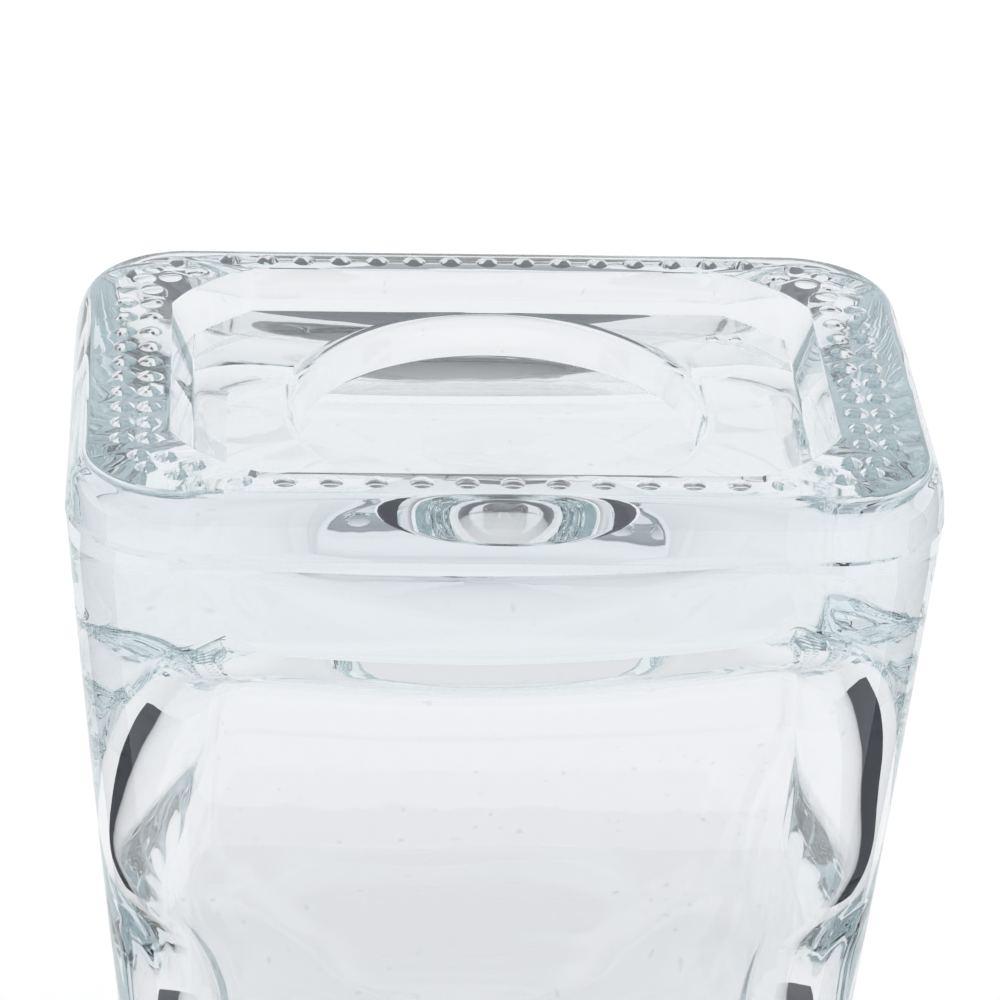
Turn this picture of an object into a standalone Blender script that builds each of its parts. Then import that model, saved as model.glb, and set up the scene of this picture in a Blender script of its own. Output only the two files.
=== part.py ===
"""Specimen jar: a heavy rectangular glass jar with a round threaded neck, stored upside down on its
screw cap, as such a jar is stood to drain or to show its foot.

Frame: metres, +Z up, origin on the floor under the neck's axis. X is the jar's wide side.
"Depth" below means distance below the foot's bearing plane, which here is the highest flat face.
"""

from math import cos, pi, radians, sin, sqrt

import bmesh
import bpy

MM = 0.001

# Driving dimensions of the glass, as half widths (X) and half depths (Y) of its rectangular sections.
BEARING_HALF = (41.3 * MM, 28.0 * MM)
HEEL_HALF = (43.6 * MM, 30.4 * MM)
HEEL_HEIGHT = 6.6 * MM
BODY_CORNER_RADIUS = 12.0 * MM
BODY_TAPER = (0.075, 0.04)
BODY_BULGE = (0.0002 / MM, 0.0)
BODY_LENGTH = 84.0 * MM
NECK_ROOT_DEPTH = 96.0 * MM

# The foot: stippled ring, rectangular panel and round push-up.
PANEL_MOUTH_HALF = (33.4 * MM, 24.0 * MM)
PANEL_FLOOR_HALF = (31.0 * MM, 22.2 * MM)
PANEL_MOUTH_CORNER = 10.0 * MM
PANEL_FLOOR_CORNER = 7.0 * MM
PANEL_DEPTH = 4.2 * MM
PUSH_UP_RADIUS = 21.5 * MM
PUSH_UP_FLOOR_RADIUS = 20.2 * MM
PUSH_UP_DEPTH = 8.3 * MM
DOME_HEIGHT = 0.45 * MM
DOME_RADIUS = 1.2 * MM
DOME_TOP_RADIUS = 0.5 * MM
DOME_SIDES = 6
DOME_BURIED = 0.4 * MM

# The stipple: (count, pitch, y) of the front and back rows, the side columns, one corner's group.
STIPPLE_ROWS = ((13, 4.41 * MM, -26.0 * MM), (15, 3.90 * MM, 26.0 * MM))
COLUMN_X = (35.5 * MM, 38.05 * MM)
COLUMN_DOMES = 11
COLUMN_PITCH = 3.51 * MM
COLUMN_MIDDLE_Y = 0.75 * MM
CORNER_DOMES = (
    (36.3 * MM, 20.6 * MM),
    (35.5 * MM, 23.1 * MM),
    (32.6 * MM, 24.7 * MM),
    (33.6 * MM, 21.0 * MM),
    (30.9 * MM, 22.7 * MM),
)

# The cavity: half width, half depth and corner radius at each depth, from the mouth's end down.
CAVITY_SECTIONS = (
    (90.0 * MM, 25.0 * MM, 21.5 * MM, 19.0 * MM),
    (86.0 * MM, 29.4 * MM, 22.4 * MM, 15.0 * MM),
    (80.0 * MM, 32.2 * MM, 23.2 * MM, 10.5 * MM),
    (70.0 * MM, 33.2 * MM, 23.8 * MM, 9.0 * MM),
    (60.0 * MM, 34.0 * MM, 24.2 * MM, 9.0 * MM),
    (50.0 * MM, 37.0 * MM, 24.8 * MM, 9.0 * MM),
    (45.0 * MM, 37.7 * MM, 25.2 * MM, 9.0 * MM),
    (38.0 * MM, 37.4 * MM, 25.4 * MM, 9.0 * MM),
    (30.0 * MM, 36.6 * MM, 25.0 * MM, 9.0 * MM),
    (24.0 * MM, 35.2 * MM, 24.2 * MM, 8.8 * MM),
    (20.6 * MM, 33.2 * MM, 22.6 * MM, 8.0 * MM),
    (18.4 * MM, 28.8 * MM, 19.0 * MM, 7.0 * MM),
)
CAVITY_CENTRE_DEPTH = 23.4 * MM
SHOULDER_BLENDS = (0.25, 0.6)
FLOOR_RINGS = (0.35, 0.75)

# The finish: a 48 mm continuous-thread neck.
NECK_RADIUS = 22.6 * MM
MOUTH_RADIUS = 18.6 * MM
LIP_ROUND = 1.1 * MM
NECK_LENGTH = 13.4 * MM
THREAD_PITCH = 4.23 * MM
THREAD_TURNS = 1.25
JAR_THREAD_BEAD = 1.2 * MM
JAR_THREAD_START = 3.1 * MM

# The cap, its liner and the gaps between touching pieces.
GAP = 0.3 * MM
CAP_TOP = 2.0 * MM
WAD_THICKNESS = 1.2 * MM
FACING_THICKNESS = 0.3 * MM
LINER_RADIUS = 23.2 * MM
CAP_BORE_RADIUS = 24.2 * MM
CAP_OUTER_RADIUS = 26.0 * MM
CAP_RIB_HEIGHT = 0.5 * MM
CAP_RIBS = 48
CAP_HEIGHT = 16.4 * MM
CAP_EDGE = 1.2 * MM
CAP_THREAD_BEAD = 1.0 * MM
CAP_THREAD_INSET = 0.1 * MM
FULL_TURN = 2 * pi

# The stack from the floor up.
WAD_Z = CAP_TOP + GAP
FACING_Z = WAD_Z + WAD_THICKNESS + GAP
LIP_Z = FACING_Z + FACING_THICKNESS + GAP
BEARING_Z = LIP_Z + NECK_LENGTH + NECK_ROOT_DEPTH

ARC_STEPS = 8
SIDE_STEPS = 4
SECTION_POINTS = 4 * (ARC_STEPS + SIDE_STEPS)
LIP_STEPS = 2
TURNED_STEPS = 64
HEEL_STEPS = 4
BODY_STEPS = 6
SHOULDER_STEPS = 5
TUBE_BEVEL = 2
POINTS_PER_TURN = 36
THREAD_RUN_OUT = 5
THREAD_TIP = 0.15


def clear_scene():
    for obj in list(bpy.data.objects):
        bpy.data.objects.remove(obj, do_unlink=True)


def new_collection(name):
    collection = bpy.data.collections.new(name)
    bpy.context.scene.collection.children.link(collection)
    return collection


def principled(name, colour, roughness, metallic=0.0, transmission=0.0):
    material = bpy.data.materials.new(name)
    material.use_nodes = True
    shader = material.node_tree.nodes["Principled BSDF"]
    shader.inputs["Base Color"].default_value = (*colour, 1.0)
    shader.inputs["Roughness"].default_value = roughness
    shader.inputs["Metallic"].default_value = metallic
    shader.inputs["Transmission Weight"].default_value = transmission
    return material


def add_object(name, mesh, collection, material=None):
    obj = bpy.data.objects.new(name, mesh)
    collection.objects.link(obj)
    if material:
        mesh.materials.append(material)
    return obj


def finish_mesh(bm, name, smooth_below=35):
    bmesh.ops.recalc_face_normals(bm, faces=bm.faces)
    mesh = bpy.data.meshes.new(name)
    bm.to_mesh(mesh)
    bm.free()
    mesh.shade_smooth()
    mesh.set_sharp_from_angle(angle=radians(smooth_below))
    return mesh


def rounded_rectangle(half_x, half_y, radius, z):
    """SECTION_POINTS points, anticlockwise from the +X side's upper end: four arcs, four sides."""
    points = []
    for quarter in range(4):
        start = quarter * pi / 2
        sign_x = 1 if quarter in (0, 3) else -1
        sign_y = 1 if quarter in (0, 1) else -1
        centre_x = sign_x * (half_x - radius)
        centre_y = sign_y * (half_y - radius)
        for step in range(ARC_STEPS + 1):
            angle = start + step * pi / 2 / ARC_STEPS
            points.append((centre_x + radius * cos(angle), centre_y + radius * sin(angle), z))
        end_x, end_y, _ = points[-1]
        straight = 2 * ((half_x if quarter in (0, 2) else half_y) - radius)
        for step in range(1, SIDE_STEPS):
            along = straight * step / SIDE_STEPS
            angle = start + pi
            points.append((end_x + along * cos(angle), end_y + along * sin(angle), z))
    return points


def circle(radius, z):
    """As many points as a rounded rectangle has, with the same point on each axis."""
    turn = FULL_TURN / SECTION_POINTS
    offset = SIDE_STEPS / 2 * turn
    return [
        (radius * cos(offset + k * turn), radius * sin(offset + k * turn), z)
        for k in range(SECTION_POINTS)
    ]


def blend_sections(first, last, share):
    return [
        tuple(a + (b - a) * share for a, b in zip(p, q, strict=True))
        for p, q in zip(first, last, strict=True)
    ]


def loft(sections):
    """A closed skin through the sections, with a flat cap on the first and on the last."""
    bm = bmesh.new()
    rings = [[bm.verts.new(point) for point in section] for section in sections]
    for lower, upper in zip(rings, rings[1:]):
        for k, corner in enumerate(lower):
            after = (k + 1) % len(lower)
            bm.faces.new((corner, lower[after], upper[after], upper[k]))
    bm.faces.new(rings[0])
    bm.faces.new(rings[-1])
    return bm


def body_half(depth):
    """Half width and half depth of the body where it tapers from the heel to the shoulder."""
    below = depth - HEEL_HEIGHT
    shrink_x = BODY_TAPER[0] * below + BODY_BULGE[0] * below * below
    shrink_y = BODY_TAPER[1] * below + BODY_BULGE[1] * below * below
    return HEEL_HALF[0] - shrink_x, HEEL_HALF[1] - shrink_y


def foot_sections():
    z = BEARING_Z
    return [
        circle(PUSH_UP_FLOOR_RADIUS, z - PUSH_UP_DEPTH),
        circle(PUSH_UP_RADIUS, z - PANEL_DEPTH),
        rounded_rectangle(*PANEL_FLOOR_HALF, PANEL_FLOOR_CORNER, z - PANEL_DEPTH),
        rounded_rectangle(*PANEL_MOUTH_HALF, PANEL_MOUTH_CORNER, z),
    ]


def outer_sections():
    """The heel's quarter ellipse, the tapering body, and the shoulder closing in to the neck."""
    sections = []
    for step in range(HEEL_STEPS + 1):
        angle = step * pi / 2 / HEEL_STEPS
        half_x, half_y = (
            bearing + (heel - bearing) * sin(angle)
            for bearing, heel in zip(BEARING_HALF, HEEL_HALF, strict=True)
        )
        inset = HEEL_HALF[0] - half_x
        depth = HEEL_HEIGHT * (1 - cos(angle))
        sections.append(
            rounded_rectangle(half_x, half_y, BODY_CORNER_RADIUS - inset, BEARING_Z - depth)
        )
    for step in range(1, BODY_STEPS + 1):
        depth = HEEL_HEIGHT + (BODY_LENGTH - HEEL_HEIGHT) * step / BODY_STEPS
        half = body_half(depth)
        sections.append(rounded_rectangle(*half, BODY_CORNER_RADIUS, BEARING_Z - depth))
    body_end = sections[-1]
    neck_root = circle(NECK_RADIUS, LIP_Z + NECK_LENGTH)
    fall = NECK_ROOT_DEPTH - BODY_LENGTH
    for step in range(1, SHOULDER_STEPS + 1):
        angle = step * pi / 2 / SHOULDER_STEPS
        plan = blend_sections(body_end, neck_root, 1 - cos(angle))
        z = BEARING_Z - BODY_LENGTH - fall * sin(angle)
        sections.append([(x, y, z) for x, y, _ in plan])
    return sections


def lip_sections():
    """The straight neck, then the half-round lip over to the mouth's bore."""
    middle = LIP_Z + LIP_ROUND
    sections = []
    for centre, start in ((NECK_RADIUS - LIP_ROUND, 0), (MOUTH_RADIUS + LIP_ROUND, pi / 2)):
        for step in range(LIP_STEPS + 1):
            angle = start + step * pi / 2 / LIP_STEPS
            radius = centre + LIP_ROUND * cos(angle)
            sections.append(circle(radius, middle - LIP_ROUND * sin(angle)))
    return sections


def cavity_sections():
    sections = [circle(MOUTH_RADIUS, LIP_Z + NECK_LENGTH)]
    bore_end = circle(MOUTH_RADIUS, BEARING_Z - NECK_ROOT_DEPTH)
    first = CAVITY_SECTIONS[0]
    widest = rounded_rectangle(*first[1:], BEARING_Z - first[0])
    for share in SHOULDER_BLENDS:
        plan = blend_sections(bore_end, widest, share * share)
        z = BEARING_Z - NECK_ROOT_DEPTH + share * (NECK_ROOT_DEPTH - first[0])
        sections.append([(x, y, z) for x, y, _ in plan])
    for depth, half_x, half_y, radius in CAVITY_SECTIONS:
        sections.append(rounded_rectangle(half_x, half_y, radius, BEARING_Z - depth))
    floor = sections[-1]
    centre = [(0, 0, BEARING_Z - CAVITY_CENTRE_DEPTH)] * SECTION_POINTS
    for share in FLOOR_RINGS:
        plan = blend_sections(floor, centre, share)
        sag = share * (2 - share)
        z = BEARING_Z - CAVITY_SECTIONS[-1][0]
        z += sag * (CAVITY_SECTIONS[-1][0] - CAVITY_CENTRE_DEPTH)
        sections.append([(x, y, z) for x, y, _ in plan])
    return sections


def stipple_points():
    """Centres of the domes on the bearing ring: rows on the sides, a staggered group in each corner."""
    points = []
    for count, pitch, y in STIPPLE_ROWS:
        points += [((k - (count - 1) / 2) * pitch, y) for k in range(count)]
    for k in range(COLUMN_DOMES):
        y = (k - (COLUMN_DOMES - 1) / 2) * COLUMN_PITCH + COLUMN_MIDDLE_Y
        points += [(side * x, y) for side in (-1, 1) for x in COLUMN_X]
    for side in (-1, 1):
        for end in (-1, 1):
            lift = COLUMN_MIDDLE_Y / 2 if end > 0 else 0
            points += [(side * x, end * y + lift) for x, y in CORNER_DOMES]
    return points


def make_stipple(collection):
    """All the domes as blunt cones rooted in the glass, so that they fuse with the foot."""
    bm = bmesh.new()
    height = DOME_HEIGHT + DOME_BURIED
    for x, y in stipple_points():
        cone = bmesh.ops.create_cone(
            bm,
            cap_ends=True,
            segments=DOME_SIDES,
            radius1=DOME_RADIUS,
            radius2=DOME_TOP_RADIUS,
            depth=height,
        )
        middle = BEARING_Z + DOME_HEIGHT - height / 2
        bmesh.ops.translate(bm, verts=cone["verts"], vec=(x, y, middle))
    stipple = add_object("stipple_domes", finish_mesh(bm, "stipple_domes"), collection)
    hide_helper(stipple)
    return stipple


def hide_helper(obj):
    obj.hide_render = True
    obj.display_type = "WIRE"


def make_thread(name, radius, bead, start_z, start_angle, collection):
    """A helical bead of THREAD_TURNS turns, right-handed, with both ends run out to a point."""
    count = int(THREAD_TURNS * POINTS_PER_TURN) + 1
    curve = bpy.data.curves.new(name, "CURVE")
    curve.dimensions = "3D"
    curve.bevel_depth = bead
    curve.bevel_resolution = TUBE_BEVEL
    curve.use_fill_caps = True
    spline = curve.splines.new("POLY")
    spline.points.add(count - 1)
    for k, point in enumerate(spline.points):
        turn = k / POINTS_PER_TURN
        angle = start_angle + turn * FULL_TURN
        z = start_z + turn * THREAD_PITCH
        point.co = (radius * cos(angle), radius * sin(angle), z, 1)
        from_end = min(k, count - 1 - k) / THREAD_RUN_OUT
        point.radius = THREAD_TIP + (1 - THREAD_TIP) * sqrt(min(1, from_end))
    source = bpy.data.objects.new(name, curve)
    bpy.context.scene.collection.objects.link(source)
    graph = bpy.context.evaluated_depsgraph_get()
    mesh = bpy.data.meshes.new_from_object(source.evaluated_get(graph))
    bpy.data.objects.remove(source, do_unlink=True)
    bm = bmesh.new()
    bm.from_mesh(mesh)
    bmesh.ops.remove_doubles(bm, verts=bm.verts, dist=0.001 * MM)
    bmesh.ops.recalc_face_normals(bm, faces=bm.faces)
    bm.to_mesh(mesh)
    bm.free()
    thread = add_object(name, mesh, collection)
    hide_helper(thread)
    return thread


def join(obj, helper):
    union = obj.modifiers.new(f"join {helper.name}", "BOOLEAN")
    union.operation = "UNION"
    union.object = helper


def make_jar(parts, helpers):
    glass = principled("clear_glass", (0.90, 0.97, 0.96), 0.0, transmission=1.0)
    sections = foot_sections() + outer_sections() + lip_sections() + cavity_sections()
    jar = add_object("jar_body", finish_mesh(loft(sections), "jar_body"), parts, glass)
    join(jar, make_stipple(helpers))
    start_z = LIP_Z + JAR_THREAD_START
    thread = make_thread("jar_thread", NECK_RADIUS, JAR_THREAD_BEAD, start_z, 0, helpers)
    join(jar, thread)
    return jar


def cap_radius(angle):
    """The skirt's outline: a shallow round flute between one rib and the next."""
    return CAP_OUTER_RADIUS - CAP_RIB_HEIGHT * (0.5 - 0.5 * cos(angle * CAP_RIBS))


def cap_outer(inset, z):
    count = CAP_RIBS * 2
    turn = FULL_TURN / count
    radii = [cap_radius(k * turn) - inset for k in range(count)]
    return [(r * cos(k * turn), r * sin(k * turn), z) for k, r in enumerate(radii)]


def make_cap(parts, helpers):
    """The ribbed shell is a loft closed at both ends; its bore is then cut by a plain cylinder."""
    plastic = principled("white_cap_plastic", (0.85, 0.85, 0.83), 0.35)
    edge = CAP_EDGE
    sections = [
        cap_outer(edge, 0),
        cap_outer(edge * 0.3, edge * 0.3),
        cap_outer(0, edge),
        cap_outer(0, CAP_HEIGHT - edge / 2),
        cap_outer(edge / 2, CAP_HEIGHT),
    ]
    cap = add_object("screw_cap", finish_mesh(loft(sections), "screw_cap"), parts, plastic)
    depth = CAP_HEIGHT
    bm = bmesh.new()
    bmesh.ops.create_cone(
        bm,
        cap_ends=True,
        segments=TURNED_STEPS,
        radius1=CAP_BORE_RADIUS,
        radius2=CAP_BORE_RADIUS,
        depth=depth,
    )
    bmesh.ops.translate(bm, verts=bm.verts, vec=(0, 0, CAP_TOP + depth / 2))
    bore = add_object("cap_bore", finish_mesh(bm, "cap_bore"), helpers)
    hide_helper(bore)
    cut = cap.modifiers.new("cut bore", "BOOLEAN")
    cut.operation = "DIFFERENCE"
    cut.object = bore
    start_z = LIP_Z + JAR_THREAD_START - THREAD_PITCH / 2
    radius = CAP_BORE_RADIUS - CAP_THREAD_INSET
    join(cap, make_thread("cap_thread", radius, CAP_THREAD_BEAD, start_z, 0, helpers))
    return cap


def make_disc(name, bottom, thickness, material, parts):
    bm = bmesh.new()
    bmesh.ops.create_cone(
        bm,
        cap_ends=True,
        segments=TURNED_STEPS,
        radius1=LINER_RADIUS,
        radius2=LINER_RADIUS,
        depth=thickness,
    )
    bmesh.ops.translate(bm, verts=bm.verts, vec=(0, 0, thickness / 2))
    disc = add_object(name, finish_mesh(bm, name), parts, material)
    disc.location.z = bottom
    return disc


clear_scene()
jar_parts = new_collection("specimen_jar")
jar_helpers = new_collection("helpers")
make_cap(jar_parts, jar_helpers)
foam = principled("liner_foam", (0.80, 0.79, 0.74), 0.8)
film = principled("liner_film", (0.88, 0.88, 0.86), 0.3)
make_disc("liner_wad", WAD_Z, WAD_THICKNESS, foam, jar_parts)
make_disc("liner_facing", FACING_Z, FACING_THICKNESS, film, jar_parts)
make_jar(jar_parts, jar_helpers)
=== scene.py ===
from math import cos, exp, pi, radians, sin, sqrt

import bmesh
import bpy
from mathutils import Matrix, Vector


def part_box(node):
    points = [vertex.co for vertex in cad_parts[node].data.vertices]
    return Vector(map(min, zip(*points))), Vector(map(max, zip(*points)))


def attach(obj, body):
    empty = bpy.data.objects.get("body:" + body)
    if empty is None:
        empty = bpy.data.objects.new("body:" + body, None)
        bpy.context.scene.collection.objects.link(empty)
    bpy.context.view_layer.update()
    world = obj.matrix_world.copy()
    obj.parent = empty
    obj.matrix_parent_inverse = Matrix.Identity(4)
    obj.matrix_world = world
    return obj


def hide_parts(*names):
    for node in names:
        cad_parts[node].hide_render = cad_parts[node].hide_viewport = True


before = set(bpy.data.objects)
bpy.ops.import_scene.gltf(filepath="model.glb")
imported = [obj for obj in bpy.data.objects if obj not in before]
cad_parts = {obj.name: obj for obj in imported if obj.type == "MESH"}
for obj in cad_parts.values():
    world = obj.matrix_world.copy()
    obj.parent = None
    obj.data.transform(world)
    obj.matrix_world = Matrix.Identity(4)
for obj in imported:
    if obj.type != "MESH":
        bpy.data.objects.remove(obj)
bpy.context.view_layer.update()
MM = 0.001

# ---------------------------------------------------------------------------------------------
# The glass jar. One heavy piece of clear soda-lime glass, pressed and blown in a two-part iron
# mould with a separate bottom plate. It stands on its mouth, so the foot is at the top.
# ---------------------------------------------------------------------------------------------

jar_low, jar_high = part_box("jar_body")
DOME_HEIGHT = 0.45 * MM
DOME_RADIUS = 1.22 * MM
BEARING_Z = jar_high.z - DOME_HEIGHT
LIP_Z = jar_low.z
HEEL_HALF_X = jar_high.x
HEEL_HALF_Y = jar_high.y
HEEL_HEIGHT = 6.6 * MM
HEEL_INSET = 2.3 * MM
CORNER_RADIUS = 12.0 * MM
TAPER_X = 0.075
TAPER_Y = 0.04
BULGE_X = 0.0002 / MM
BODY_LENGTH = 84.0 * MM
NECK_ROOT_DEPTH = 96.0 * MM
NECK_RADIUS = 22.6 * MM
MOUTH_RADIUS = 18.6 * MM
LIP_ROUND = 1.1 * MM
ARC_STEPS = 24
SIDE_STEPS = 16
HEEL_STEPS = 14
BODY_STEPS = 24
SHOULDER_STEPS = 12


def rounded_rectangle(half_x, half_y, radius, z, chamfer=0.0):
    """Anticlockwise from the +X side's upper end. A chamfer of 1 swaps each arc for a straight cut."""
    points = []
    for quarter in range(4):
        start = quarter * pi / 2
        centre_x = (1 if quarter in (0, 3) else -1) * (half_x - radius)
        centre_y = (1 if quarter in (0, 1) else -1) * (half_y - radius)
        first = Vector((cos(start), sin(start)))
        last = Vector((-sin(start), cos(start)))
        for step in range(ARC_STEPS + 1):
            share = step / ARC_STEPS
            arc = first * cos(share * pi / 2) + last * sin(share * pi / 2)
            out = arc.lerp(first.lerp(last, share), chamfer)
            points.append((centre_x + radius * out.x, centre_y + radius * out.y, z))
        end_x, end_y, _ = points[-1]
        straight = 2 * ((half_x if quarter in (0, 2) else half_y) - radius)
        for step in range(1, SIDE_STEPS):
            along = straight * step / SIDE_STEPS
            points.append((end_x - along * cos(start), end_y - along * sin(start), z))
    return points


def circle(radius, z):
    count = 4 * (ARC_STEPS + SIDE_STEPS)
    turn = 2 * pi / count
    offset = SIDE_STEPS / 2 * turn
    angles = [offset + k * turn for k in range(count)]
    return [(radius * cos(angle), radius * sin(angle), z) for angle in angles]


def blend_plans(first, last, share, z):
    return [
        (a[0] + (b[0] - a[0]) * share, a[1] + (b[1] - a[1]) * share, z)
        for a, b in zip(first, last, strict=True)
    ]


def loft(sections):
    """A closed skin through rings of equal count, with a flat face on the first and on the last."""
    bm = bmesh.new()
    rings = [[bm.verts.new(point) for point in section] for section in sections]
    for lower, upper in zip(rings, rings[1:]):
        for k, corner in enumerate(lower):
            after = (k + 1) % len(lower)
            bm.faces.new((corner, lower[after], upper[after], upper[k]))
    bm.faces.new(rings[0])
    bm.faces.new(rings[-1])
    bmesh.ops.recalc_face_normals(bm, faces=bm.faces)
    return bm


def mesh_object(name, bm):
    mesh = bpy.data.meshes.new(name)
    bm.to_mesh(mesh)
    bm.free()
    mesh.shade_smooth()
    mesh.set_sharp_from_angle(angle=radians(30))
    obj = bpy.data.objects.new(name, mesh)
    bpy.context.scene.collection.objects.link(obj)
    return obj


def smooth(rows, key):
    """Catmull-Rom through rows of (key, a, b, ...), in rising key: the values at key."""
    k = max(i for i in range(len(rows) - 1) if rows[i][0] <= key or i == 0)
    here, after = rows[k], rows[k + 1]
    before = rows[k - 1] if k else here
    beyond = rows[k + 2] if k + 2 < len(rows) else after
    span = after[0] - here[0]
    t = (key - here[0]) / span
    values = []
    for p0, p1, p2, p3 in zip(before[1:], here[1:], after[1:], beyond[1:], strict=True):
        slope_in = (p2 - p0) / (after[0] - before[0]) * span
        slope_out = (p3 - p1) / (beyond[0] - here[0]) * span
        values.append(
            (2 * t**3 - 3 * t**2 + 1) * p1
            + (t**3 - 2 * t**2 + t) * slope_in
            + (3 * t**2 - 2 * t**3) * p2
            + (t**3 - t**2) * slope_out
        )
    return values


# The bottom plate's side: a stippled bearing ring, a sunk rectangular panel with cut corners and
# a round push-up in its middle. Rows run from the middle of the push-up out to the bearing ring.
PANEL_FLOOR = (31.0 * MM, 22.3 * MM, 6.0 * MM)
PANEL_MOUTH = (33.4 * MM, 24.0 * MM, 9.0 * MM)
PANEL_DEPTH = 4.2 * MM
PANEL_CUT = 0.9
MOUTH_CUT = 0.55
PUSH_UP = (
    (20.2 * MM, 8.3 * MM),
    (20.35 * MM, 8.26 * MM),
    (20.5 * MM, 7.95 * MM),
    (21.0 * MM, 5.4 * MM),
    (21.16 * MM, 4.84 * MM),
    (21.55 * MM, 4.45 * MM),
    (22.1 * MM, 4.26 * MM),
    (22.5 * MM, PANEL_DEPTH),
)


# The panel's wall, from its floor (0) to its mouth (1), with a small round at each end.
PANEL_WALL = (
    (0.0, PANEL_DEPTH),
    (0.05, 4.1 * MM),
    (0.1, 3.95 * MM),
    (0.92, 0.22 * MM),
    (0.97, 0.06 * MM),
    (1.03, 0.0),
)


def foot_sections():
    rows = [circle(radius, BEARING_Z - depth) for radius, depth in PUSH_UP]
    floor_x, floor_y, floor_corner = PANEL_FLOOR
    mouth_x, mouth_y, mouth_corner = PANEL_MOUTH
    for grow, depth in PANEL_WALL:
        rows.append(
            rounded_rectangle(
                floor_x + (mouth_x - floor_x) * grow,
                floor_y + (mouth_y - floor_y) * grow,
                floor_corner + (mouth_corner - floor_corner) * grow,
                BEARING_Z - depth,
                PANEL_CUT + (MOUTH_CUT - PANEL_CUT) * grow,
            )
        )
    return rows


SEAM_RIDGE = 0.06 * MM
SEAM_TOP = HEEL_HEIGHT - 0.08 * MM
SEAM_FOOT = HEEL_HEIGHT + 0.2 * MM
HEEL_END = HEEL_HEIGHT - 0.25 * MM


def body_half(depth):
    below = max(depth - HEEL_HEIGHT, 0)
    return (
        HEEL_HALF_X - SEAM_RIDGE - TAPER_X * below - BULGE_X * below * below,
        HEEL_HALF_Y - SEAM_RIDGE - TAPER_Y * below,
    )


def outer_sections():
    """Heel, the parting ridge where the bottom plate met the mould, tapering body and shoulder."""
    rows = []
    heel_x, heel_y = body_half(0)
    for step in range(HEEL_STEPS + 1):
        angle = step * pi / 2 / HEEL_STEPS
        inset = HEEL_INSET * (1 - sin(angle))
        depth = HEEL_END * (1 - cos(angle))
        corner = CORNER_RADIUS - inset
        rows.append(rounded_rectangle(heel_x - inset, heel_y - inset, corner, BEARING_Z - depth))
    for out, depth in ((SEAM_RIDGE, SEAM_TOP), (SEAM_RIDGE, HEEL_HEIGHT), (0, SEAM_FOOT)):
        corner = CORNER_RADIUS + out
        rows.append(rounded_rectangle(heel_x + out, heel_y + out, corner, BEARING_Z - depth))
    for step in range(1, BODY_STEPS + 1):
        depth = HEEL_HEIGHT + (BODY_LENGTH - HEEL_HEIGHT) * step / BODY_STEPS
        rows.append(rounded_rectangle(*body_half(depth), CORNER_RADIUS, BEARING_Z - depth))
    body_end = rows[-1]
    root = circle(NECK_RADIUS, 0)
    fall = NECK_ROOT_DEPTH - BODY_LENGTH
    for step in range(1, SHOULDER_STEPS + 1):
        angle = step * pi / 2 / SHOULDER_STEPS
        z = BEARING_Z - BODY_LENGTH - fall * sin(angle)
        rows.append(blend_plans(body_end, root, 1 - cos(angle), z))
    return rows


LIP_STEPS = 6


def lip_sections():
    """The rounded lip, from the neck's outside over to the bore."""
    rows = []
    for centre, start in ((NECK_RADIUS - LIP_ROUND, 0), (MOUTH_RADIUS + LIP_ROUND, pi / 2)):
        for step in range(LIP_STEPS + 1):
            angle = start + step * pi / 2 / LIP_STEPS
            radius = centre + LIP_ROUND * cos(angle)
            rows.append(circle(radius, LIP_Z + LIP_ROUND - LIP_ROUND * sin(angle)))
    return rows


# The blown inside, in rows of depth, half width, shift towards +X, half depth and corner radius.
# It leans to one side at the base, and draws in sharply where the shoulder begins.
CAVITY_FORM = (
    (18.4 * MM, 28.8 * MM, 0.9 * MM, 19.0 * MM, 7.0 * MM),
    (20.6 * MM, 33.2 * MM, 1.0 * MM, 22.6 * MM, 8.0 * MM),
    (24.0 * MM, 35.2 * MM, 0.9 * MM, 24.2 * MM, 8.8 * MM),
    (30.0 * MM, 36.6 * MM, 0.6 * MM, 25.0 * MM, 9.0 * MM),
    (38.0 * MM, 37.4 * MM, 0.1 * MM, 25.4 * MM, 9.0 * MM),
    (45.0 * MM, 37.7 * MM, -0.15 * MM, 25.2 * MM, 9.0 * MM),
    (50.0 * MM, 37.0 * MM, -0.2 * MM, 24.8 * MM, 9.0 * MM),
    (55.0 * MM, 35.2 * MM, -0.2 * MM, 24.4 * MM, 9.0 * MM),
    (60.0 * MM, 34.0 * MM, -0.1 * MM, 24.2 * MM, 9.0 * MM),
    (70.0 * MM, 33.2 * MM, 0.0, 23.8 * MM, 9.0 * MM),
    (80.0 * MM, 32.2 * MM, 0.0, 23.2 * MM, 10.5 * MM),
    (86.0 * MM, 29.4 * MM, 0.0, 22.4 * MM, 15.0 * MM),
    (90.0 * MM, 25.0 * MM, 0.0, 21.5 * MM, 19.0 * MM),
)
CAVITY_TOP = CAVITY_FORM[0][0]
CAVITY_STEPS = 120
BORE_BLEND_STEPS = 9
FLOOR_STEPS = 16
FLOOR_SAG = 2.2 * MM
BASE_DROOP = 3.0 * MM
BASE_TILT = 0.8 * MM
BASE_REACH = 33 * MM
DROOP_FADE = 9 * MM
WAVE = 0.05 * MM
WAVE_RADIUS = 30 * MM


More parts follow.
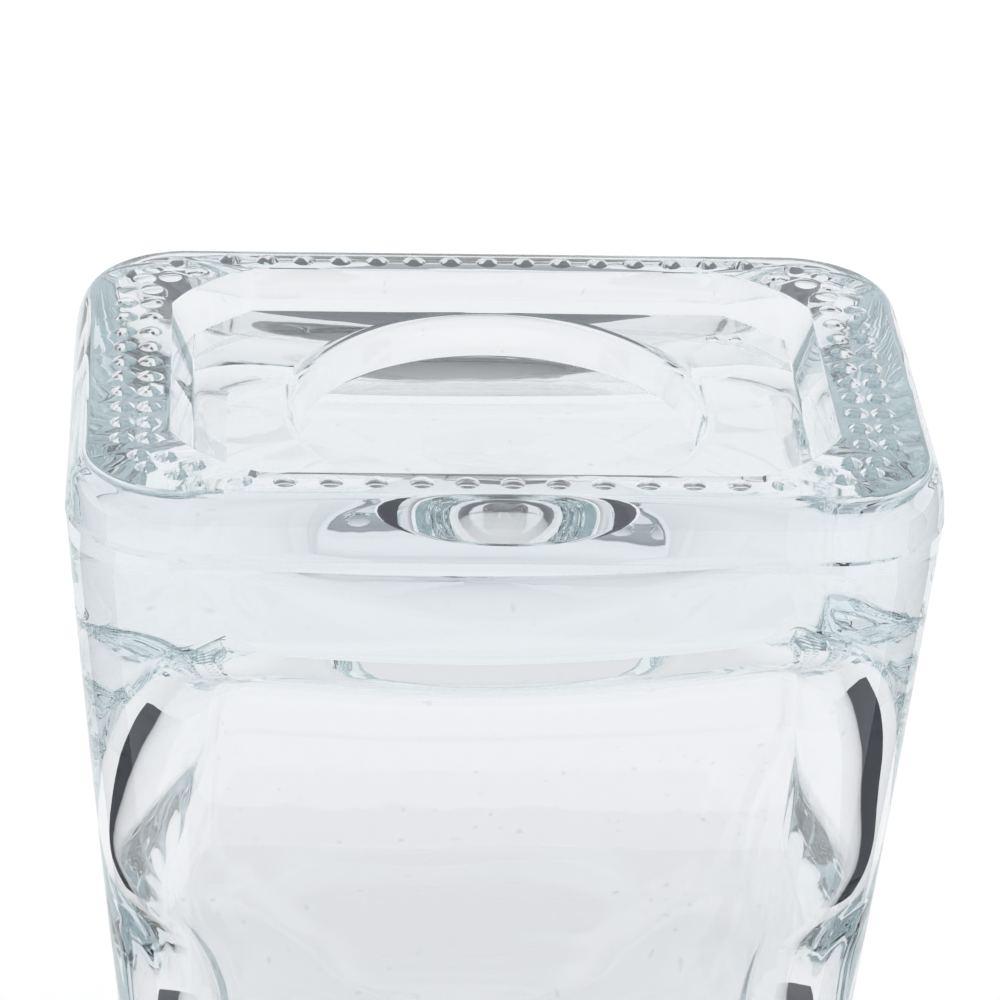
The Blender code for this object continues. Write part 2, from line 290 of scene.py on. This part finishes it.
def uneven(point):
    """Blown glass: the inside wanders a little, and the base hangs thicker in its middle."""
    x, y, z = point
    depth = BEARING_Z - z
    near_base = exp(-(((depth - CAVITY_TOP) / DROOP_FADE) ** 2)) if depth > CAVITY_TOP else 1.0
    across = x / BASE_REACH
    droop = BASE_DROOP * max(0.0, 1 - across**2) - BASE_TILT * across
    swell = WAVE * (
        sin(x / (6.1 * MM) + 0.8) * sin(z / (14.0 * MM) + 0.4)
        + 0.6 * sin(x / (3.7 * MM) - z / (19.0 * MM))
    )
    grow = 1 + swell / WAVE_RADIUS if depth < BODY_LENGTH else 1.0
    return x * grow, y * grow, z - droop * near_base


def cavity_ring(depth):
    half_x, shift, half_y, corner = smooth(CAVITY_FORM, depth)
    ring = rounded_rectangle(half_x, half_y, corner, BEARING_Z - depth)
    return [(x + shift, y, z) for x, y, z in ring]


def cavity_sections():
    rows = [circle(MOUTH_RADIUS, BEARING_Z - NECK_ROOT_DEPTH)]
    bore_end = rows[0]
    inner_end = CAVITY_FORM[-1][0]
    widest = cavity_ring(inner_end)
    for step in range(1, BORE_BLEND_STEPS + 1):
        share = step / (BORE_BLEND_STEPS + 1)
        z = BEARING_Z - NECK_ROOT_DEPTH + share * (NECK_ROOT_DEPTH - inner_end)
        rows.append(blend_plans(bore_end, widest, share * share, z))
    body = []
    for step in range(CAVITY_STEPS + 1):
        depth = inner_end + (CAVITY_TOP - inner_end) * step / CAVITY_STEPS
        body.append(cavity_ring(depth))
    edge = body[-1]
    for step in range(1, FLOOR_STEPS):
        share = step / FLOOR_STEPS
        z = BEARING_Z - CAVITY_TOP - share * (2 - share) * FLOOR_SAG
        body.append([(x * (1 - share), y * (1 - share), z) for x, y, _ in edge])
    return rows + [[uneven(point) for point in row] for row in body]


def stipple_points():
    """Middles of the moulded pips: one row in front, one behind, two down each side, and corners."""
    points = []
    for count, pitch, y in ((13, 4.41 * MM, -26.0 * MM), (15, 3.90 * MM, 26.0 * MM)):
        points += [((k - (count - 1) / 2) * pitch, y) for k in range(count)]
    side_rows, side_pitch, side_centre = 11, 3.51 * MM, 0.75 * MM
    for k in range(side_rows):
        y = (k - (side_rows - 1) / 2) * side_pitch + side_centre
        points += [(side * x, y) for side in (-1, 1) for x in (35.5 * MM, 38.05 * MM)]
    corner = ((36.3, 20.6), (35.5, 23.1), (32.6, 24.7), (33.6, 21.0), (30.9, 22.7))
    for side in (-1, 1):
        for end in (-1, 1):
            lift = side_centre / 2 * (1 + end) / 2
            points += [(side * x * MM, end * y * MM + lift) for x, y in corner]
    return points


DOME_SIDES = 24
DOME_RINGS = 6
DOME_BURIED = 0.3 * MM


def add_dome(bm, x, y, z, radius, height):
    ball = (radius**2 + height**2) / (2 * height)
    profile = [(radius, -DOME_BURIED), (radius, 0.0)]
    for step in range(1, DOME_RINGS):
        rise = height * step / DOME_RINGS
        profile.append((sqrt(ball**2 - (ball - height + rise) ** 2), rise))
    rings = []
    for ring_radius, rise in profile:
        angles = [k * 2 * pi / DOME_SIDES for k in range(DOME_SIDES)]
        ring = [(x + ring_radius * cos(a), y + ring_radius * sin(a), z + rise) for a in angles]
        rings.append([bm.verts.new(point) for point in ring])
    tip = bm.verts.new((x, y, z + height))
    for k in range(DOME_SIDES):
        after = (k + 1) % DOME_SIDES
        for lower, upper in zip(rings, rings[1:]):
            bm.faces.new((lower[k], lower[after], upper[after], upper[k]))
        bm.faces.new((rings[-1][k], rings[-1][after], tip))
    bm.faces.new(reversed(rings[0]))


THREAD_PITCH = 4.23 * MM
THREAD_TURNS = 1.25
THREAD_START_Z = LIP_Z + 3.1 * MM
TURN_STEPS = 96
BEAD_SIDES = 16
RUN_OUT_TURN = 0.14
RUN_OUT_TIP = 0.15


def add_thread(bm, radius, bead, start_z):
    """A right-handed round bead on the neck, run out to a fine end at both ends."""
    count = int(THREAD_TURNS * TURN_STEPS)
    rings = []
    for k in range(count + 1):
        turn = k / TURN_STEPS
        from_end = min(turn, THREAD_TURNS - turn) / RUN_OUT_TURN
        size = bead * (RUN_OUT_TIP + (1 - RUN_OUT_TIP) * sqrt(min(1, max(0, from_end))))
        ring = []
        for side in range(BEAD_SIDES):
            angle = 2 * pi * side / BEAD_SIDES
            out = radius + size * cos(angle)
            z = start_z + turn * THREAD_PITCH + size * sin(angle)
            ring.append(bm.verts.new((out * cos(2 * pi * turn), out * sin(2 * pi * turn), z)))
        rings.append(ring)
    for lower, upper in zip(rings, rings[1:]):
        for k in range(BEAD_SIDES):
            after = (k + 1) % BEAD_SIDES
            bm.faces.new((lower[k], upper[k], upper[after], lower[after]))
    bm.faces.new(rings[0])
    bm.faces.new(reversed(rings[-1]))
    bmesh.ops.recalc_face_normals(bm, faces=bm.faces)


def unite(obj, extra_bm):
    """Fuses closed extras into obj, as they come out of one mould."""
    extra = mesh_object("extra", extra_bm)
    union = obj.modifiers.new("union", "BOOLEAN")
    union.operation = "UNION"
    union.object = extra
    union.solver = "MANIFOLD"
    graph = bpy.context.evaluated_depsgraph_get()
    joined = bpy.data.meshes.new_from_object(obj.evaluated_get(graph))
    obj.modifiers.clear()
    obj.data = joined
    bpy.data.objects.remove(extra)
    joined.materials.clear()
    joined.shade_smooth()
    joined.set_sharp_from_angle(angle=radians(30))


jar = mesh_object(
    "jar_glass",
    loft(foot_sections() + outer_sections() + lip_sections() + cavity_sections()),
)
extras = bmesh.new()
for x, y in stipple_points():
    add_dome(extras, x, y, BEARING_Z, DOME_RADIUS, DOME_HEIGHT)
# Two plain pips on the panel floor mark the mould cavity.
PIP_Y = 16.4 * MM
PIP_RADIUS = 0.7 * MM
PIP_HEIGHT = 0.28 * MM
for x in (23.4 * MM, 25.8 * MM):
    add_dome(extras, x, PIP_Y, BEARING_Z - PANEL_DEPTH, PIP_RADIUS, PIP_HEIGHT)
JAR_BEAD = 1.2 * MM
add_thread(extras, NECK_RADIUS, JAR_BEAD, THREAD_START_Z)
unite(jar, extras)


def new_group(name, inputs, outputs):
    """A shader node group: inputs as (name, default), outputs by name. Returns tree, in and out."""
    tree = bpy.data.node_groups.new(name, "ShaderNodeTree")
    for socket, default in inputs:
        made = tree.interface.new_socket(socket, in_out="INPUT", socket_type="NodeSocketFloat")
        made.default_value = default
    for socket in outputs:
        tree.interface.new_socket(socket, in_out="OUTPUT", socket_type="NodeSocketFloat")
    return tree, tree.nodes.new("NodeGroupInput"), tree.nodes.new("NodeGroupOutput")


def noise_node(tree, scale_socket=None, scale=1.0, detail=2.0, roughness=0.5):
    noise = tree.nodes.new("ShaderNodeTexNoise")
    noise.inputs["Scale"].default_value = scale
    noise.inputs["Detail"].default_value = detail
    noise.inputs["Roughness"].default_value = roughness
    if scale_socket is not None:
        tree.links.new(scale_socket, noise.inputs["Scale"])
    place = tree.nodes.new("ShaderNodeTexCoord")
    tree.links.new(place.outputs["Object"], noise.inputs["Vector"])
    return noise


def remap(tree, source, low, high, to_low, to_high):
    node = tree.nodes.new("ShaderNodeMapRange")
    node.inputs["From Min"].default_value = low
    node.inputs["From Max"].default_value = high
    node.inputs["To Min"].default_value = to_low
    node.inputs["To Max"].default_value = to_high
    tree.links.new(source, node.inputs["Value"])
    return node.outputs["Result"]


def maths(tree, operation, first, second):
    node = tree.nodes.new("ShaderNodeMath")
    node.operation = operation
    for socket, value in zip(node.inputs, (first, second)):
        if isinstance(value, (int, float)):
            socket.default_value = value
        else:
            tree.links.new(value, socket)
    return node.outputs["Value"]


def handling_group():
    """Fingered haze and fine specks that any handled surface picks up, each a mask from 0 to 1."""
    tree, given, out = new_group(
        "handling_marks", (("Haze Scale", 60.0), ("Speck Scale", 900.0)), ("Haze", "Specks")
    )
    haze = noise_node(tree, given.outputs["Haze Scale"], detail=4.0, roughness=0.6)
    tree.links.new(remap(tree, haze.outputs["Fac"], 0.48, 0.72, 0.0, 1.0), out.inputs["Haze"])
    specks = noise_node(tree, given.outputs["Speck Scale"], detail=1.0)
    tree.links.new(remap(tree, specks.outputs["Fac"], 0.74, 0.80, 0.0, 1.0), out.inputs["Specks"])
    return tree


def add_group(tree, group, **values):
    node = tree.nodes.new("ShaderNodeGroup")
    node.node_tree = group
    for name, value in values.items():
        node.inputs[name.replace("_", " ").title()].default_value = value
    return node


def new_material(name):
    material = bpy.data.materials.new(name)
    material.use_nodes = True
    return material, material.node_tree, material.node_tree.nodes["Principled BSDF"]


def colour_between(tree, factor, first, second):
    mix = tree.nodes.new("ShaderNodeMix")
    mix.data_type = "RGBA"
    mix.inputs[6].default_value = (*first, 1)
    mix.inputs[7].default_value = (*second, 1)
    tree.links.new(factor, mix.inputs[0])
    return mix.outputs[2]


def add_bump(tree, shader, height, strength, distance):
    bump = tree.nodes.new("ShaderNodeBump")
    bump.inputs["Strength"].default_value = strength
    bump.inputs["Distance"].default_value = distance
    tree.links.new(height, bump.inputs["Height"])
    tree.links.new(bump.outputs["Normal"], shader.inputs["Normal"])


HANDLING = handling_group()


def clear_glass():
    """Soda-lime glass: white in thin section, blue-green down a long path, with chill ripple."""
    material, tree, shader = new_material("clear_soda_glass")
    shader.inputs["IOR"].default_value = 1.52
    shader.inputs["Transmission Weight"].default_value = 1.0
    marks = add_group(tree, HANDLING, haze_scale=45.0, speck_scale=700.0)
    rough = remap(tree, marks.outputs["Haze"], 0.0, 1.0, 0.0, 0.012)
    tree.links.new(rough, shader.inputs["Roughness"])
    tint = colour_between(tree, marks.outputs["Specks"], (0.985, 0.99, 0.995), (0.80, 0.83, 0.85))
    tree.links.new(tint, shader.inputs["Base Color"])
    ripple = noise_node(tree, scale=90.0, detail=3.0, roughness=0.45)
    add_bump(tree, shader, ripple.outputs["Fac"], 0.12, 0.25 * MM)
    absorb = tree.nodes.new("ShaderNodeVolumeAbsorption")
    absorb.inputs["Color"].default_value = (0.64, 0.80, 0.83, 1)
    absorb.inputs["Density"].default_value = 5.0
    tree.links.new(absorb.outputs["Volume"], tree.nodes["Material Output"].inputs["Volume"])
    return material


jar.data.materials.append(clear_glass())
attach(jar, "jar")
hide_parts("jar_body")

# ---------------------------------------------------------------------------------------------
# The screw cap. Injection-moulded white polypropylene: a flat top, a ribbed skirt for the fingers
# and a bead inside it that runs under the jar's own bead and draws the cap on.
# ---------------------------------------------------------------------------------------------

cap_low, cap_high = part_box("screw_cap")
CAP_RADIUS = cap_high.x
CAP_RIBS = 48
RIB_HEIGHT = 0.5 * MM
RIB_POINTS = 10
CAP_EDGE = 1.2 * MM
CAP_BORE = 24.2 * MM
CAP_INNER_Z = cap_low.z + 2.0 * MM
CAP_FILLET = 0.8 * MM
PLAIN_BAND = 1.8 * MM
CAP_SEAT = 20.5 * MM
CAP_SEAT_SINK = 0.25 * MM


def cap_ring(radius, z, ribbed=0.0):
    """A ring of the skirt: ribbed 1 gives full flutes between round-topped ribs."""
    points = []
    for k in range(CAP_RIBS * RIB_POINTS):
        angle = 2 * pi * k / (CAP_RIBS * RIB_POINTS)
        flute = (0.5 - 0.5 * cos(angle * CAP_RIBS)) ** 1.6
        out = radius - RIB_HEIGHT * ribbed * flute
        points.append((out * cos(angle), out * sin(angle), z))
    return points


def cap_sections():
    rows = []
    for step in range(5):
        angle = step * pi / 8
        radius = CAP_BORE - CAP_FILLET * (1 - sin(angle))
        rows.append(cap_ring(radius, CAP_INNER_Z + CAP_FILLET * (1 - cos(angle))))
    rows.append(cap_ring(CAP_BORE, cap_high.z - 0.5 * MM))
    rows.append(cap_ring(CAP_BORE + 0.15 * MM, cap_high.z - 0.15 * MM))
    rows.append(cap_ring(CAP_BORE + 0.5 * MM, cap_high.z))
    rows.append(cap_ring(CAP_RADIUS - 0.4 * MM, cap_high.z))
    rows.append(cap_ring(CAP_RADIUS - 0.1 * MM, cap_high.z - 0.1 * MM))
    rows.append(cap_ring(CAP_RADIUS, cap_high.z - 0.4 * MM))
    rows.append(cap_ring(CAP_RADIUS, cap_high.z - PLAIN_BAND))
    rows.append(cap_ring(CAP_RADIUS, cap_high.z - PLAIN_BAND - 0.1 * MM, 0.55))
    rows.append(cap_ring(CAP_RADIUS, cap_high.z - PLAIN_BAND - 0.5 * MM, 1.0))
    rows.append(cap_ring(CAP_RADIUS, cap_low.z + CAP_EDGE + 0.3 * MM, 1.0))
    for step in range(1, 9):
        angle = step * pi / 16
        radius = CAP_RADIUS - CAP_EDGE * (1 - cos(angle))
        z = cap_low.z + CAP_EDGE * (1 - sin(angle))
        rows.append(cap_ring(radius, z, 1 - step / 8))
    rows.append(cap_ring(CAP_SEAT, cap_low.z))
    rows.append(cap_ring(CAP_SEAT - 0.3 * MM, cap_low.z + CAP_SEAT_SINK))
    rows.append(cap_ring(1.6 * MM, cap_low.z + CAP_SEAT_SINK))
    rows.append(cap_ring(1.5 * MM, cap_low.z + 0.1 * MM))
    return rows


cap = mesh_object("cap_shell", loft(cap_sections()))
CAP_BEAD = 1.0 * MM
BEAD_PROUD = 0.1 * MM
inner_bead = bmesh.new()
add_thread(inner_bead, CAP_BORE - BEAD_PROUD, CAP_BEAD, THREAD_START_Z - THREAD_PITCH / 2)
unite(cap, inner_bead)


def polypropylene():
    """Slightly milky white plastic with faint flow marks, finger haze and specks of dust."""
    material, tree, shader = new_material("white_polypropylene")
    shader.inputs["IOR"].default_value = 1.49
    shader.inputs["Subsurface Weight"].default_value = 0.15
    shader.inputs["Subsurface Radius"].default_value = (1.0, 0.9, 0.8)
    shader.inputs["Subsurface Scale"].default_value = 0.6 * MM
    marks = add_group(tree, HANDLING, haze_scale=110.0, speck_scale=1300.0)
    flow = noise_node(tree, scale=35.0, detail=3.0)
    cloudy = maths(tree, "MULTIPLY", flow.outputs["Fac"], marks.outputs["Haze"])
    tint = colour_between(tree, cloudy, (0.86, 0.86, 0.845), (0.80, 0.80, 0.78))
    tree.links.new(tint, shader.inputs["Base Color"])
    rough = remap(tree, marks.outputs["Haze"], 0.0, 1.0, 0.30, 0.46)
    tree.links.new(rough, shader.inputs["Roughness"])
    grain = noise_node(tree, scale=2600.0, detail=2.0)
    height = maths(tree, "ADD", grain.outputs["Fac"], marks.outputs["Specks"])
    add_bump(tree, shader, height, 0.12, 0.06 * MM)
    return material


cap.data.materials.append(polypropylene())
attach(cap, "closure")
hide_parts("screw_cap")

# ---------------------------------------------------------------------------------------------
# The liner wad. A disc die-cut from expanded polyethylene sheet, loose in the cap: its cut edge
# shows the closed cells. In use it squashes a little so that the lip seals all the way round; here it
# is drawn flat.
# ---------------------------------------------------------------------------------------------

DISC_SIDES = 192


def disc_ring(radius, z):
    angles = [2 * pi * k / DISC_SIDES for k in range(DISC_SIDES)]
    return [(radius * cos(angle), radius * sin(angle), z) for angle in angles]


def disc_object(name, node, edge, dish=0.0):
    """A flat disc filling the CAD node's box, with its cut edge broken by a small round."""
    low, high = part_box(node)
    rows = [disc_ring(high.x - edge, low.z)]
    for step in range(1, 5):
        angle = step * pi / 8
        rows.append(disc_ring(high.x - edge * (1 - sin(angle)), low.z + edge * (1 - cos(angle))))
    for step in range(4, -1, -1):
        angle = step * pi / 8
        rows.append(disc_ring(high.x - edge * (1 - sin(angle)), high.z - edge * (1 - cos(angle))))
    lip_track = ((NECK_RADIUS - LIP_ROUND, dish), (MOUTH_RADIUS + LIP_ROUND, dish), (MOUTH_RADIUS, 0))
    for radius, sink in lip_track:
        rows.append(disc_ring(radius, high.z - sink))
    return mesh_object(name, loft(rows))


wad = disc_object("wad", "liner_wad", 0.2 * MM)


def foam_plastic():
    """Closed-cell foam: each cell a small hollow, painted darker in its middle as painted shade, and
    the whole a shade yellower than white.
    """
    material, tree, shader = new_material("polyethylene_foam")
    cells = tree.nodes.new("ShaderNodeTexVoronoi")
    cells.inputs["Scale"].default_value = 2400.0
    place = tree.nodes.new("ShaderNodeTexCoord")
    tree.links.new(place.outputs["Object"], cells.inputs["Vector"])
    dimple_and_painted_shade = remap(tree, cells.outputs["Distance"], 0.0, 0.7, 0.0, 1.0)
    marks = add_group(tree, HANDLING, haze_scale=150.0, speck_scale=1500.0)
    # Darker in the middle of each cell: painted shade in the hollows, from the same mask as the bump.
    tint = colour_between(tree, dimple_and_painted_shade, (0.70, 0.69, 0.64), (0.84, 0.83, 0.79))
    tree.links.new(tint, shader.inputs["Base Color"])
    rough = remap(tree, marks.outputs["Haze"], 0.0, 1.0, 0.72, 0.88)
    tree.links.new(rough, shader.inputs["Roughness"])
    add_bump(tree, shader, dimple_and_painted_shade, 0.5, 0.08 * MM)
    return material


wad.data.materials.append(foam_plastic())
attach(wad, "liner")
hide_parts("liner_wad")

# ---------------------------------------------------------------------------------------------
# The liner's facing. A thin white film on the jar's side of the wad, smooth so that it wipes
# clean and does not stick. The lip has pressed a faint polished ring into it.
# ---------------------------------------------------------------------------------------------

FACING_DISH = 0.03 * MM
facing = disc_object("facing", "liner_facing", 0.05 * MM, FACING_DISH)


def facing_film():
    """Smooth white film, more polished along the ring where the lip bears on it, and painted darker
    there as painted shade under the lip.
    """
    material, tree, shader = new_material("facing_film")
    place = tree.nodes.new("ShaderNodeTexCoord")
    flat = tree.nodes.new("ShaderNodeVectorMath")
    flat.operation = "MULTIPLY"
    flat.inputs[1].default_value = (1, 1, 0)
    tree.links.new(place.outputs["Object"], flat.inputs[0])
    reach = tree.nodes.new("ShaderNodeVectorMath")
    reach.operation = "LENGTH"
    tree.links.new(flat.outputs["Vector"], reach.inputs[0])
    lip_middle = (NECK_RADIUS + MOUTH_RADIUS) / 2
    off_ring = maths(tree, "SUBTRACT", reach.outputs["Value"], lip_middle)
    off_ring = maths(tree, "ABSOLUTE", off_ring, 0.0)
    lip_ring_and_shade = remap(tree, off_ring, 1.0 * MM, 1.9 * MM, 1.0, 0.0)
    marks = add_group(tree, HANDLING, haze_scale=120.0, speck_scale=1100.0)
    # The ring under the lip is painted darker: painted shade where the glass lip sits on the film.
    # Only the roughness change is the pressed polish.
    tint = colour_between(tree, lip_ring_and_shade, (0.92, 0.92, 0.91), (0.85, 0.85, 0.84))
    tree.links.new(tint, shader.inputs["Base Color"])
    dull = remap(tree, marks.outputs["Haze"], 0.0, 1.0, 0.28, 0.42)
    polish = maths(tree, "MULTIPLY", lip_ring_and_shade, 0.12)
    tree.links.new(maths(tree, "SUBTRACT", dull, polish), shader.inputs["Roughness"])
    grain = noise_node(tree, scale=1800.0, detail=3.0)
    add_bump(tree, shader, grain.outputs["Fac"], 0.15, 0.04 * MM)
    return material


facing.data.materials.append(facing_film())
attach(facing, "liner")
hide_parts("liner_facing")

# ---------------------------------------------------------------------------------------------
# The studio. A white floor, a white surround that falls off behind the camera, black cards close
# to the jar's sides and a grey one in front, as glass is lit to draw its edges on a white ground.
# The cards take no light: their black and grey is their own faint glow, and they show only in
# reflections in the glass, so the dark edges they draw are painted reflections.
# ---------------------------------------------------------------------------------------------

FLOOR_HALF = 4.0
FLOOR_GLOW = 0.25
BACKGROUND_LIFT = 0.12


def stage_material(name, colour, glow, glow_strength):
    material, tree, shader = new_material(name)
    shader.inputs["Base Color"].default_value = (*colour, 1)
    shader.inputs["Roughness"].default_value = 0.7
    shader.inputs["Specular IOR Level"].default_value = 0.0
    shader.inputs["Emission Color"].default_value = (*glow, 1)
    shader.inputs["Emission Strength"].default_value = glow_strength
    return material


def white_paper():
    """The floor, with a little more light on it where it is seen directly, as a lit backdrop is."""
    material = stage_material("white_paper", (0.9, 0.9, 0.9), (1, 1, 1), FLOOR_GLOW)
    tree = material.node_tree
    path = tree.nodes.new("ShaderNodeLightPath")
    lift = maths(tree, "MULTIPLY", path.outputs["Is Camera Ray"], BACKGROUND_LIFT)
    glow = maths(tree, "ADD", lift, FLOOR_GLOW)
    tree.links.new(glow, tree.nodes["Principled BSDF"].inputs["Emission Strength"])
    return material


# Cards show in light mirrored 1 to 3 times in the glass, and not straight through it.
MIRRORED_MIDDLE = 2.0
MIRRORED_REACH = 1.1


def card_material(name, glow):
    material = stage_material(name, (0, 0, 0), glow, 1.0)
    tree = material.node_tree
    path = tree.nodes.new("ShaderNodeLightPath")
    mirrored = maths(tree, "COMPARE", path.outputs["Glossy Depth"], MIRRORED_MIDDLE)
    mirrored.node.inputs[2].default_value = MIRRORED_REACH
    tree.links.new(mirrored, tree.nodes["Principled BSDF"].inputs["Alpha"])
    return material


bm = bmesh.new()
bmesh.ops.create_grid(bm, x_segments=1, y_segments=1, size=FLOOR_HALF)
floor = mesh_object("floor", bm)
floor.data.materials.append(white_paper())

def card_object(name, corners, material):
    bm = bmesh.new()
    bm.faces.new([bm.verts.new(corner) for corner in corners])
    card = mesh_object(name, bm)
    card.data.materials.append(material)
    card.visible_camera = False
    card.visible_diffuse = False
    card.visible_shadow = False


CARD_OUT = 80 * MM
CARD_FRONT = -35 * MM
CARD_BACK = 12 * MM
CARD_TOP = 104 * MM
# The side cards' near-black is a faint glow of their own, seen only in reflections: painted
# reflection.
black = card_material("black_glow_card", (0.036, 0.040, 0.050))
for side, name in ((-1, "card_left"), (1, "card_right")):
    corners = ((CARD_FRONT, 0), (CARD_BACK, 0), (CARD_BACK, CARD_TOP), (CARD_FRONT, CARD_TOP))
    card_object(name, [(side * CARD_OUT, y, z) for y, z in corners], black)

VIEW_AZIMUTH = radians(3.87)
VIEW_FALL = radians(26.96)
VIEW_ROLL = radians(2.23)
AIM = Vector((0, -8.4 * MM, BEARING_Z - 10.8 * MM))
DISTANCE = 499.9 * MM
forward = Vector(
    (
        sin(VIEW_AZIMUTH) * cos(VIEW_FALL),
        cos(VIEW_AZIMUTH) * cos(VIEW_FALL),
        -sin(VIEW_FALL),
    )
)

# The front card's grey is its own glow, seen only in reflections in the glass: painted reflection.
grey = card_material("grey_glow_card", (0.15, 0.16, 0.175))
NEAR_HALF = 70 * MM
NEAR_FRONT = -140 * MM
NEAR_BACK = -40 * MM
NEAR_HEIGHT = 1 * MM
near_corners = (
    (-NEAR_HALF, NEAR_FRONT, NEAR_HEIGHT),
    (NEAR_HALF, NEAR_FRONT, NEAR_HEIGHT),
    (NEAR_HALF, NEAR_BACK, NEAR_HEIGHT),
    (-NEAR_HALF, NEAR_BACK, NEAR_HEIGHT),
)
card_object("card_in_front", near_corners, grey)

world = bpy.data.worlds.new("studio")
bpy.context.scene.world = world
world.use_nodes = True
sky = world.node_tree
sky_place = sky.nodes.new("ShaderNodeTexCoord")
towards = sky.nodes.new("ShaderNodeVectorMath")
towards.operation = "DOT_PRODUCT"
towards.inputs[1].default_value = (-sin(VIEW_AZIMUTH), -cos(VIEW_AZIMUTH), 0)
sky.links.new(sky_place.outputs["Generated"], towards.inputs[0])
ramp = sky.nodes.new("ShaderNodeValToRGB")
stops = ramp.color_ramp.elements
stops[0].position = 0.0
stops[0].color = (0.92, 0.92, 0.93, 1)
stops[1].position = 1.0
stops[1].color = (0.30, 0.32, 0.36, 1)
# From straight behind the jar, at 0, round to straight behind the camera, at 1.
SURROUND = (
    (0.48, (0.75, 0.75, 0.765)),
    (0.74, (0.75, 0.75, 0.765)),
    (0.86, (0.42, 0.43, 0.46)),
)
for position, shade in SURROUND:
    stops.new(position).color = (*shade, 1)
half = maths(sky, "MULTIPLY", towards.outputs["Value"], 0.5)
sky.links.new(maths(sky, "ADD", half, 0.5), ramp.inputs["Fac"])
overhead = sky.nodes.new("ShaderNodeVectorMath")
overhead.operation = "DOT_PRODUCT"
overhead.inputs[1].default_value = Vector((0, -0.46, 0.89)).normalized()
sky.links.new(sky_place.outputs["Generated"], overhead.inputs[0])
# A soft box above and a little in front.
soft_box = remap(sky, overhead.outputs["Value"], 0.88, 0.96, 1.0, 1.15)
level = sky.nodes.new("ShaderNodeVectorMath")
level.operation = "SCALE"
sky.links.new(ramp.outputs["Color"], level.inputs[0])
sky.links.new(soft_box, level.inputs["Scale"])
sky.links.new(level.outputs["Vector"], sky.nodes["Background"].inputs["Color"])

camera_data = bpy.data.cameras.new("camera")
camera_data.sensor_width = 36
camera_data.lens = 177.8
camera_data.clip_start = 10 * MM
camera = bpy.data.objects.new("camera", camera_data)
bpy.context.scene.collection.objects.link(camera)
facing_jar = (-forward).to_track_quat("Z", "Y").to_matrix().to_4x4()
standing = Matrix.Translation(AIM - forward * DISTANCE)
camera.matrix_world = standing @ facing_jar @ Matrix.Rotation(VIEW_ROLL, 4, "Z")
bpy.context.scene.camera = camera

# Light runs a long way inside thick glass before it gets out.
GLASS_BOUNCES = 32
bpy.context.scene.view_settings.view_transform = "Standard"
bpy.context.scene.cycles.max_bounces = GLASS_BOUNCES
bpy.context.scene.cycles.glossy_bounces = GLASS_BOUNCES
bpy.context.scene.cycles.transmission_bounces = GLASS_BOUNCES
